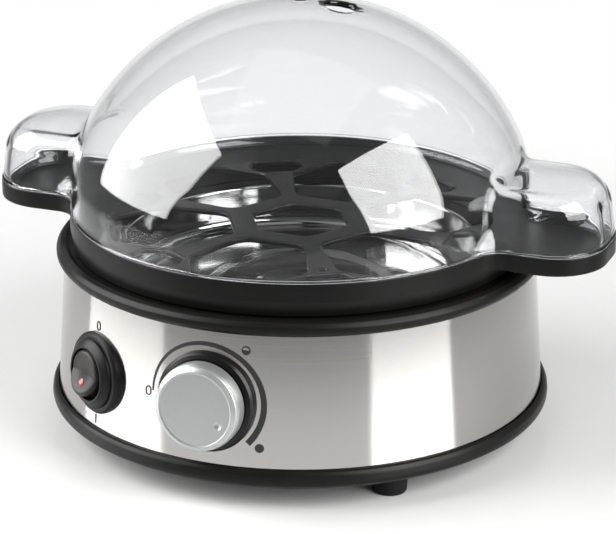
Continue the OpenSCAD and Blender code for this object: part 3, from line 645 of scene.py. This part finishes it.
def plate(edge, holes, z):
    """A flat face with holes, as triangles on the edges' own points."""
    points, edges = [], []
    for loop in [edge, *holes]:
        start = len(points)
        points += [Vector(p) for p in loop]
        edges += [(start + i, start + (i + 1) % len(loop)) for i in range(len(loop))]
    verts, _, faces, _, _, _ = delaunay_2d_cdt(points, edges, [], 0, 1e-5)
    kept = []
    for f in faces:
        middle = sum((verts[v] for v in f), Vector((0, 0))) / 3
        if middle.length < DECK_R and not any(inside(h, middle) for h in holes):
            kept.append(list(f))
    return [(v.x, v.y, z) for v in verts], kept


def wall_rings(loop, top, bottom, edge_r, low_r):
    """Rings down a hole's wall with a rounded upper edge and a small lower one."""
    rings = []
    for i in range(5):
        a = math.pi / 2 * i / 4
        rings.append((grown(loop, edge_r * (1 - math.sin(a))), top - edge_r * (1 - math.cos(a))))
    rings.append((grown(loop, 0), bottom + low_r))
    rings.append((grown(loop, low_r), bottom))
    return rings


def egg_tray():
    """The tray: a lipped rim with two ears, a perforated deck, a skirt and a locating ring below."""
    holes = tray_holes()
    edge_r, low_r, f = 0.8, 0.3, 0.45
    rim = outline(0)
    reach = np.clip((np.linalg.norm(rim, axis=1) - RIM_R) / 2, 0, 1)[:, None]
    ear_low = RIM_Z - EAR_T
    locate_r, locate_z = box_mm("heating_pan")[1].x - 2.5, TRAY_LOW.z
    skirt_in = SKIRT_LOW_R - 2

    def ear_edge(inset):
        return rim + (outline(inset) - rim) * reach

    rings = [(ring_at(DECK_R), DECK_Z), (ring_at(DISH_R), LEDGE_Z), (outline(LIP_T + f), LEDGE_Z),
             (outline(LIP_T + 0.1), LEDGE_Z + 0.12), (outline(LIP_T), LEDGE_Z + f),
             (outline(LIP_T), RIM_Z - f), (outline(LIP_T - 0.12), RIM_Z - 0.12),
             (outline(LIP_T - f), RIM_Z), (outline(f), RIM_Z), (outline(0.13), RIM_Z - 0.13),
             (outline(0), RIM_Z - f), (ear_edge(0), ear_low + 0.9), (ear_edge(0.25), ear_low + 0.3),
             (ear_edge(0.9), ear_low), (ring_at(RIM_R - 0.1), ear_low),
             (ring_at(SKIRT_LOW_R), BEAD_TOP + 0.5), (ring_at(SKIRT_LOW_R - 0.45), BEAD_TOP + 0.05),
             (ring_at(skirt_in + 0.3), BEAD_TOP + 0.05), (ring_at(skirt_in), BEAD_TOP + 0.4),
             (ring_at(skirt_in), LEDGE_Z - DECK_T), (ring_at(locate_r), LEDGE_Z - DECK_T - 1),
             (ring_at(locate_r), locate_z + 0.3), (ring_at(locate_r - 0.3), locate_z),
             (ring_at(locate_r - 1.7), locate_z), (ring_at(locate_r - 2), locate_z + 0.3),
             (ring_at(locate_r - 2), DECK_Z - DECK_T + 0.6), (ring_at(DECK_R), DECK_Z - DECK_T)]
    parts = [strip(rings),
             plate(ring_at(DECK_R), [grown(h, edge_r) for h in holes], DECK_Z),
             plate(ring_at(DECK_R), [grown(h, low_r) for h in holes], DECK_Z - DECK_T)]
    parts += [strip(wall_rings(h, DECK_Z, DECK_Z - DECK_T, edge_r, low_r)) for h in holes]
    dress("egg_tray_moulding", "egg_tray", "tray", data=several(parts), crisp=50)


# ---------------------------------------------------------------- lid


def dome_distance(r, z):
    """Signed distance to the lid's dome, taken at the rim's own radius."""
    crown_r = RIM_R - LID_INSET + CROWN_SPREAD
    wall_r = RIM_R - LID_INSET
    centre_r = wall_r - SHOULDER_R
    angle = math.acos(centre_r / (crown_r - SHOULDER_R))
    shoulder_z = CROWN_Z + (crown_r - SHOULDER_R) * math.sin(angle)
    wall = r - wall_r
    shoulder = np.hypot(r - centre_r, z - shoulder_z) - SHOULDER_R
    crown = np.hypot(r, z - CROWN_Z) - crown_r
    at = np.arctan2(z - shoulder_z, r - centre_r)
    upper = np.where((at < angle) & (r > centre_r), shoulder, crown)
    return np.where(z < shoulder_z, wall, upper) - LID_INSET


def ear_distance(x, y, z):
    """Signed distance to the two ears: a rounded bar across the lid with rounded upper edges."""
    qx = np.abs(x) - (EAR_TIP - EAR_CORNER_R) + LID_TIP_DRAFT * np.maximum(z - RIM_Z - 3, 0)
    qy = np.abs(y) - (EAR_HALF_W - EAR_CORNER_R)
    plan = (np.minimum(np.maximum(qx, qy), 0) + np.hypot(np.maximum(qx, 0), np.maximum(qy, 0))
            - EAR_CORNER_R + LID_DRAFT * np.maximum(z - RIM_Z, 0))
    fall = LID_EAR_CROWN * ((y / EAR_HALF_W) ** 2 + (np.maximum(np.abs(x) - 92, 0) / 20) ** 2)
    r = LID_EAR_R + LID_INSET
    side, top = plan + r, 0.97 * (z - LID_EAR_TOP - LID_INSET + fall) + r
    return (np.minimum(np.maximum(side, top), 0)
            + np.hypot(np.maximum(side, 0), np.maximum(top, 0)) - r)


def lid_distance(x, y, z):
    """Dome and ears joined by a hollow blend that is wide at the rim and tight above it."""
    a, b = dome_distance(np.hypot(x, y), z), ear_distance(x, y, z)
    low = np.exp(-(np.maximum(z - RIM_Z, 0) / 5) ** 2)
    k = LID_CREASE_R + (EAR_BLEND_R - LID_CREASE_R) * low
    hollow = np.maximum(k, np.minimum(a, b))
    return hollow - np.hypot(np.maximum(k - a, 0), np.maximum(k - b, 0))


def lid_surface(level, start_z, rows, density):
    """Rings of the lid's surface at a depth below the rim's outline, from a height to the crown."""
    rim = outline(0.6, density)
    angle = np.arctan2(rim[:, 1], rim[:, 0])[:, None]
    hub_r, hub_z = 55.0, RIM_Z
    top = CROWN_Z + RIM_R + CROWN_SPREAD - level
    first = math.atan2(start_z - hub_z, RIM_R - hub_r)
    last = math.atan2(top - hub_z, -hub_r)
    t = np.linspace(first, last, rows)[None, :]
    low, high = np.zeros((len(rim), rows)), np.full((len(rim), rows), 130.0)
    for _ in range(44):
        middle = (low + high) / 2
        r = hub_r + middle * np.cos(t)
        z = hub_z + middle * np.sin(t)
        out = lid_distance(r * np.cos(angle), r * np.sin(angle), z) > -level
        low, high = np.where(out, low, middle), np.where(out, middle, high)
    r, z = hub_r + low * np.cos(t), hub_z + low * np.sin(t)
    rings = [(np.stack([r[:, k] * np.cos(angle[:, 0]), r[:, k] * np.sin(angle[:, 0])], 1), z[:, k])
             for k in range(rows - 1)]
    return rings, top


def capped(rings, top):
    """Rings closed by one point on the axis."""
    verts, faces = strip(rings)
    count = len(rings[0][0])
    last = len(verts) - count
    verts.append((0, 0, top))
    faces += [(last + i, last + (i + 1) % count, len(verts) - 1) for i in range(count)]
    return verts, faces


def lid():
    """The clear lid: outer and inner surface, a flange along the rim, a vent and a gate mark."""
    density, rows = 2, 84
    outer, top = lid_surface(LID_INSET, RIM_Z + 1.1, rows, density)
    inner, ceiling = lid_surface(LID_INSET + LID_T, RIM_Z + 0.6, rows, density)
    low = LID_LOW.z
    foot = 0.03

    def edge(inset, z):
        return outline(inset, density), z

    band = [edge(LID_INSET, RIM_Z + 1.0), edge(0.25, RIM_Z + 0.9), edge(0.12, RIM_Z + 0.75),
            edge(0.12, RIM_Z + 0.25), edge(0.25, RIM_Z + foot), edge(1.7, RIM_Z + foot),
            edge(1.7, low + 0.35), edge(1.95, low), edge(2.55, low), edge(2.8, low + 0.35)]
    shell = [capped(outer, top), strip([outer[0], *band, inner[0]]), capped(inner, ceiling)]
    piece = dress("lid_shell", "lid", "lid", data=several(shell), crisp=50, weighted=False)
    vent_r, vent_x, vent_turn = 5.7, 14.2, math.radians(10)
    r_top, r_low = vent_r + 1.2, vent_r + 0.6
    vent_z = CROWN_Z + math.sqrt((top - CROWN_Z) ** 2 - vent_x ** 2)
    lean = Matrix.Rotation(math.asin(vent_x / (top - CROWN_Z)), 4, "Y")
    centre = Matrix.Rotation(vent_turn, 4, "Z") @ Matrix.Translation((vent_x, 0, vent_z)) @ lean
    drill = rounded([(0, 5), (r_top + 3, 5), (r_top, 0.0, 0.6), (vent_r, -0.7, 0.8),
                     (vent_r, -1.7, 0.6), (r_low + 1, -3.4), (0, -3.4)], closed=False)
    cut(piece, *lathe_data(drill, 48, closed=False), centre, crisp=50)
    gate = rounded([(0, -0.45), (1.6, -0.45, 0.4), (2.5, 0.5), (2.5, 2), (0, 2)], closed=False)
    cut(piece, *lathe_data(gate, 32, closed=False), Matrix.Translation((0, 0, top)), crisp=50)


# ---------------------------------------------------------------- base


def base_ring():
    """The bottom ring, with a groove for the jacket and a ledge for the bottom cover."""
    inner = -JACKET_LOW.x - 4
    profile = [(inner, BASE_Z, 0.4), (BASE_R - 2.6, BASE_Z, 1.2), (BASE_R - 0.3, BASE_Z + 1.6, 2),
               (BASE_R, BASE_Z + 3.2, 3), (BASE_R - 0.25, BASE_Z + 5.4, 2.5),
               (BASE_R - 1.0, BASE_Z + 6.6, 0.7), (BASE_R - 1.9, BASE_Z + 7, 0.4),
               (jacket_r(15) + 0.35, BASE_Z + 7, 0.2), (jacket_r(15) + 0.35, BASE_Z + 4),
               (jacket_r(15) - 1.1, BASE_Z + 4), (jacket_r(15) - 1.1, BASE_Z + 7, 0.2),
               (inner + 2, BASE_Z + 7.4, 0.3), (inner + 2, UPSTAND_TOP, 0.4),
               (inner, UPSTAND_TOP, 0.4), (inner, COVER_HIGH.z + 2, 0.4),
               (inner - 16, COVER_HIGH.z + 2, 0.3), (inner - 16, COVER_HIGH.z, 0.3),
               (inner, COVER_HIGH.z, 0.3)]
    dress("base_ring_moulding", "base_ring", "base", profile, segments=256)


def top_ring():
    """The top ring, which holds the heating dish, with six screw posts below it."""
    r = BEAD_R
    low = JACKET_HIGH.z - 1
    ledge = PAN_HIGH.x + 1
    profile = [(ledge, PAN_HIGH.z - 2), (ledge, BEAD_TOP - 0.6, 0.4), (r - 4.6, BEAD_TOP - 0.6, 0.3),
               (r - 3.2, BEAD_TOP, 0.6), (r - 1.2, BEAD_TOP - 0.35, 1.4), (r, BEAD_TOP - 1.9, 1.4),
               (r, low + 1.9, 1.4), (r - 1.3, low + 0.25, 1.2), (r - 2.6, low, 0.3),
               (r - 2.75, low + 1.2), (r - 3.8, low + 1.2), (r - 4.0, low, 0.2),
               (r - 4.0, low - 4, 0.3), (r - 6.0, low - 4, 0.3), (r - 6.0, PAN_HIGH.z - 4),
               (ledge - 7.5, PAN_HIGH.z - 4, 0.3), (ledge - 7.5, PAN_HIGH.z - 2, 0.3)]
    ring = lathe_data(rounded(profile), 256)
    posts = []
    post_r, bore_r, ring_r = 4, 1.6, PAN_HIGH.x - 2.5
    clamp_z = box_mm("clamp_bar")[1].z
    places = [(a, COVER_HIGH.z) for a in (68, 112, -112, -60)] + [(a, clamp_z) for a in (90, -90)]
    tube = [(bore_r, 0), (post_r, 0, 0.3), (post_r, 1), (bore_r, 1)]
    for degrees, foot_z in places:
        height = PAN_HIGH.z - 3.9 - foot_z
        data = lathe_data(rounded([(r0, z * height, *rest) for r0, z, *rest in tube]), 32)
        turn = Matrix.Rotation(math.radians(degrees), 4, "Z")
        posts.append(moved(data, turn @ Matrix.Translation((0, -ring_r, foot_z))))
    dress("top_ring_moulding", "top_ring", "base", data=several([ring, *posts]))


def steel_jacket():
    """The steel sheet, with holes for the dial's shaft, the switch and the gland."""
    sheet = 0.6
    low, high = JACKET_LOW.z, JACKET_HIGH.z
    profile = [(jacket_r(low) - sheet, low), (jacket_r(low), low), (jacket_r(high), high),
               (jacket_r(high) - sheet, high)]
    piece = dress("steel_jacket_sheet", "steel_jacket", "base", profile, segments=256, crisp=40)
    for place, radius in [(panel(0, DIAL_POS.z), 4.2),
                          (panel(azimuth_of(ROCKER_POS), SWITCH_Z), 10.2),
                          (panel(math.pi, GLAND_POS.z), GLAND_BORE_R + 2.8)]:
        drill = lathe_data([(0, -5), (radius, -5), (radius, 5), (0, 5)], 48, closed=False)
        cut(piece, *drill, place, crisp=40)


def feet():
    """Three rubber feet with a button that snaps through the bottom cover."""
    foot_r = 6.4
    tall = COVER_LOW.z
    profile = [(0, 0.5), (foot_r - 2.6, 0.5, 0.4), (foot_r - 2.2, 0, 0.4), (foot_r - 0.5, 0, 0.7),
               (foot_r, tall * 0.7, 1), (foot_r, tall, 0.2), (2.4, tall, 0.1),
               (2.4, COVER_HIGH.z + 2.2), (3.4, COVER_HIGH.z + 2.2, 0.2),
               (2.0, COVER_HIGH.z + 4.2, 0.3), (0, COVER_HIGH.z + 4.2)]
    one = lathe_data(rounded(profile, closed=False), 48, closed=False)
    ring_r = FOOT_POS.xy.length
    turns = [Matrix.Rotation(math.radians(a), 4, "Z") for a in (45, 165, -75)]
    three = [moved(one, turn @ Matrix.Translation((0, -ring_r, 0))) for turn in turns]
    dress("rubber_feet", "feet", "base", data=several(three))


def heating_pan():
    """The pressed heating dish with its flange and a raised ring in its floor."""
    floor, top, r = PAN_LOW.z + 1, PAN_HIGH.z, PAN_HIGH.x
    inside_r = r - 12
    profile = [(0, floor + 0.6), (14, floor + 0.6, 3), (17, floor, 3), (30, floor, 3),
               (34, floor + 0.8, 4), (54, floor + 0.8, 4), (57, floor, 3),
               (inside_r, floor, 5), (inside_r, top, 1.2), (r, top), (r, top - 1),
               (inside_r + 1, top - 1, 0.4), (inside_r + 1, floor - 1, 5), (0, floor - 1)]
    dress("heating_dish", "heating_pan", "base", profile, closed=False, crisp=60)


# ---------------------------------------------------------------- dial


def dial():
    """The knob's turned cap with a dimple for its pointer, and the collar behind it."""
    place = panel(0, DIAL_POS.z)
    knob_r, knob_low, face = box_mm("knob_cap")[1].x, 3.0, 10.0
    cap = [(0, face - 0.25), (knob_r - 2.5, face - 0.25, 0.5), (knob_r - 2.0, face, 0.35),
           (knob_r - 0.4, face - 1.0, 0.8), (knob_r, face - 2.4, 0.8), (knob_r, knob_low, 0.25),
           (knob_r - 1.4, knob_low, 0.2), (knob_r - 1.4, face - 1.7, 0.4), (0, face - 1.7)]
    piece = dress("knob_cap_turned", "knob_cap", "dial", cap, closed=False, place=place,
                  segments=128)
    lens_r, depth = 1.45, 0.55
    bowl = [(0, -depth), (lens_r * 0.6, -depth * 0.75), (lens_r, 0), (lens_r, 1), (0, 1)]
    mark = (Matrix.Rotation(math.radians(-28), 4, "Z")
            @ Matrix.Translation((knob_r - 5.7, 0, face - 0.25)))
    cut(piece, *lathe_data(bowl, 40, closed=False), place @ mark)
    r = box_mm("dial_collar")[1].x
    collar = [(4.3, -1.4), (r, -1.4), (r, 0.9, 0.5), (r - 0.8, 1.9, 0.5), (15.4, 2.4, 0.6),
              (13.0, 1.9, 1.2), (8.6, 1.9, 0.4), (8.2, 1.6), (4.3, 1.6)]
    dress("dial_collar_ring", "dial_collar", "base", collar, place=place)


# ---------------------------------------------------------------- switch


def switch():
    """Bezel, housing, rocker and lamp. The rocker's face is folded across its middle."""
    place = panel(SWITCH_AZ, SWITCH_Z)
    bezel = [(10.3, -1.4), (14.5, -1.4), (14.5, 0.9, 0.5), (13.7, 1.9, 0.5), (12.7, 2.1, 0.2),
             (10.3, 2.1)]
    dress("switch_bezel_ring", "switch_bezel", "base", bezel, place=place)
    back, well = -18, 9.1
    body = [(0, back), (10, back, 0.6), (10, 2.1), (12.3, 2.1), (12.3, 2.9, 0.4), (11.6, 3.6, 0.5),
            (9.9, 4.9, 0.5), (well, 4.9, 0.35), (well, -6.4, 0.3), (0, -6.4)]
    dress("switch_housing", "switch_body", "base", body, closed=False, place=place)
    tip = (place @ Matrix.Translation((0, 0, PIVOT_OUT))
           @ Matrix.Rotation(math.radians(ROCKER_REST), 4, "X"))
    r = 8.4
    button = [(0, -3.5), (r - 0.5, -3.5, 0.3), (r - 0.3, 2.5, 0.6), (r - 0.9, 3.2, 0.5),
              (r - 1.6, 3.5, 0.3), (r - 3.2, 3.3, 2), (0, 3.15)]
    button_verts, button_faces = lathe_data(rounded(button, closed=False), 96, closed=False)
    fold = math.tan(math.radians(-ROCKER_REST))
    folded = [(x, y, z + fold * abs(y) if z > 0 else z) for x, y, z in button_verts]
    body_data = folded, button_faces
    pin = lathe_data(rounded([(0, -9.85), (1.2, -9.85, 0.2), (1.2, 9.85, 0.2), (0, 9.85)],
                             closed=False), 24, closed=False)
    pins = moved(pin, Matrix.Rotation(math.pi / 2, 4, "Y"))
    dress("rocker_button", "rocker", "rocker", data=several([body_data, pins]), place=tip)
    lens = [(0, 2.6), (1.6, 2.6, 0.1), (1.6, 3.35, 0.4), (0.8, 3.6, 0.6), (0, 3.62)]
    lamp_y = 4.4 - r
    on_face = (Matrix.Translation((0, lamp_y, fold * abs(lamp_y)))
               @ Matrix.Rotation(math.radians(ROCKER_REST), 4, "X"))
    dress("rocker_lens", "rocker_lamp", "rocker", lens, closed=False, segments=40,
          place=tip @ on_face)


def cord_gland():
    """The ribbed sleeve at the rear that a cord passes through."""
    place = panel(math.pi, GLAND_POS.z)
    bore, nose = GLAND_BORE_R, 10.0
    profile = [(bore, -9, 0.2), (bore + 2.6, -9, 0.3), (bore + 2.6, 0), (bore + 5.4, -0.3),
               (bore + 5.4, 1.6, 0.6), (bore + 4.8, 2.4, 0.5), (bore + 3.2, 2.4, 0.5)]
    for k in range(3):
        z = 3.4 + 2.0 * k
        r = bore + 3.0 - 0.45 * k
        profile += [(r, z, 0.25), (r - 0.7, z + 0.4, 0.2), (r - 0.7, z + 1.2, 0.2),
                    (r - 0.15, z + 1.6, 0.25)]
    profile += [(bore + 1.8, nose - 0.02, 0.5), (bore, nose - 0.02, 0.3)]
    dress("cord_gland_sleeve", "cord_gland", "base", profile, place=place, segments=96)


steel_jacket()
base_ring()
top_ring()
feet()
heating_pan()
dial()
switch()
cord_gland()
egg_tray()
lid()

# ---------------------------------------------------------------- floor, light and camera

CAMERA_AZ, CAMERA_EL = 21.5, 20.4
CAMERA_DISTANCE = 1.007


def direction(azimuth, elevation):
    """Direction out of the object, by the angle from the dial towards +X and the angle up."""
    a, e = math.radians(azimuth), math.radians(elevation)
    return Vector((math.sin(a) * math.cos(e), -math.cos(a) * math.cos(e), math.sin(e)))


def ramp(nodes, start, end, low, high):
    """A node that steps smoothly from one level to another."""
    made = nodes.new("ShaderNodeMapRange")
    made.interpolation_type = "SMOOTHSTEP"
    made.inputs["From Min"].default_value = start
    made.inputs["From Max"].default_value = end
    made.inputs["To Min"].default_value = low
    made.inputs["To Max"].default_value = high
    return made


def floor():
    """A pale glossy table that fades into the white room."""
    half = 0.6
    mesh = bpy.data.meshes.new("floor")
    mesh.from_pydata([(-half, -half, 0), (half, -half, 0), (half, half, 0), (-half, half, 0)], [],
                     [(0, 1, 2, 3)])
    piece = bpy.data.objects.new("floor", mesh)
    bpy.context.scene.collection.objects.link(piece)
    paint = Paint("floor_white", (0.63, 0.63, 0.625), 0.09)
    paint.vary_roughness(paint.noise(12, 3), 0.03)
    far = paint.node("ShaderNodeVectorMath", Vector=paint.place)
    far.operation = "LENGTH"
    fade = ramp(paint.nodes, 0.14, 0.42, 0.0, 1.0)
    paint.links.new(far.outputs["Value"], fade.inputs["Value"])
    clear = paint.node("ShaderNodeBsdfTransparent")
    mix = paint.nodes.new("ShaderNodeMixShader")
    paint.links.new(fade.outputs[0], mix.inputs[0])
    paint.links.new(paint.shader.outputs[0], mix.inputs[1])
    paint.links.new(clear.outputs[0], mix.inputs[2])
    paint.links.new(mix.outputs[0], paint.out.inputs["Surface"])
    mesh.materials.append(paint.material)


def studio():
    """A grey room with a lighter backdrop for reflections, seen as plain white behind the object."""
    world = bpy.data.worlds.new("studio")
    bpy.context.scene.world = world
    world.use_nodes = True
    nodes, links = world.node_tree.nodes, world.node_tree.links
    nodes.clear()
    out = nodes.new("ShaderNodeOutputWorld")
    mix = nodes.new("ShaderNodeMixShader")
    path = nodes.new("ShaderNodeLightPath")
    plain = nodes.new("ShaderNodeBackground")
    room = nodes.new("ShaderNodeBackground")
    plain.inputs["Color"].default_value = (1, 1, 1, 1)
    plain.inputs["Strength"].default_value = 1.0
    place = nodes.new("ShaderNodeTexCoord")
    split = nodes.new("ShaderNodeSeparateXYZ")
    behind = ramp(nodes, -0.3, 0.9, 0.17, 0.25)
    links.new(place.outputs["Generated"], split.inputs[0])
    links.new(split.outputs["Y"], behind.inputs["Value"])
    ahead = nodes.new("ShaderNodeVectorMath")
    ahead.operation = "DOT_PRODUCT"
    ahead.inputs[1].default_value = -direction(CAMERA_AZ, CAMERA_EL)
    links.new(place.outputs["Generated"], ahead.inputs[0])
    backdrop = ramp(nodes, 0.78, 0.96, 0.0, 0.7)
    links.new(ahead.outputs["Value"], backdrop.inputs["Value"])
    total = nodes.new("ShaderNodeMath")
    total.operation = "ADD"
    links.new(behind.outputs[0], total.inputs[0])
    links.new(backdrop.outputs[0], total.inputs[1])
    links.new(total.outputs[0], room.inputs["Strength"])
    room.inputs["Color"].default_value = (0.99, 0.995, 1.0, 1)
    bounces = nodes.new("ShaderNodeMath")
    bounces.operation = "ADD"
    links.new(path.outputs["Diffuse Depth"], bounces.inputs[0])
    links.new(path.outputs["Glossy Depth"], bounces.inputs[1])
    reflected = nodes.new("ShaderNodeMath")
    reflected.operation = "GREATER_THAN"
    reflected.inputs[1].default_value = 0.5
    links.new(bounces.outputs[0], reflected.inputs[0])
    links.new(reflected.outputs[0], mix.inputs[0])
    links.new(plain.outputs[0], mix.inputs[1])
    links.new(room.outputs[0], mix.inputs[2])
    links.new(mix.outputs[0], out.inputs[0])


def softbox(name, azimuth, elevation, distance, width, height, radiance):
    """A rectangular lamp that faces the middle of the object."""
    lamp = bpy.data.lights.new(name, "AREA")
    lamp.shape = "RECTANGLE"
    lamp.size, lamp.size_y = width, height
    lamp.energy = radiance * math.pi * width * height
    out = direction(azimuth, elevation)
    piece = bpy.data.objects.new(name, lamp)
    piece.location = Vector((0, 0, 0.07)) + out * distance
    piece.rotation_euler = out.to_track_quat("Z", "Y").to_euler()
    piece.visible_camera = False
    bpy.context.scene.collection.objects.link(piece)


def camera():
    """A long lens, a little above and to the right of the dial."""
    aim = Vector((0, 0, 0.0552))
    data = bpy.data.cameras.new("camera")
    data.lens, data.sensor_width = 163.5, 36.0
    data.shift_x = 0.0125
    out = direction(CAMERA_AZ, CAMERA_EL)
    piece = bpy.data.objects.new("camera", data)
    piece.location = aim + out * CAMERA_DISTANCE
    piece.rotation_euler = out.to_track_quat("Z", "Y").to_euler()
    bpy.context.scene.collection.objects.link(piece)
    bpy.context.scene.camera = piece


floor()
studio()
softbox("softbox_left", -68, 27, 0.85, 0.82, 0.84, 8.0)
softbox("softbox_right", 73, 25, 0.85, 0.64, 0.80, 9.4)
softbox("softbox_top", 0, 88, 1.1, 0.9, 0.9, 0.4)
camera()

scene = bpy.context.scene
scene.view_settings.view_transform = "Standard"
scene.cycles.use_denoising = True
scene.cycles.max_bounces = 16
scene.cycles.transmission_bounces = 12
scene.cycles.transparent_max_bounces = 12
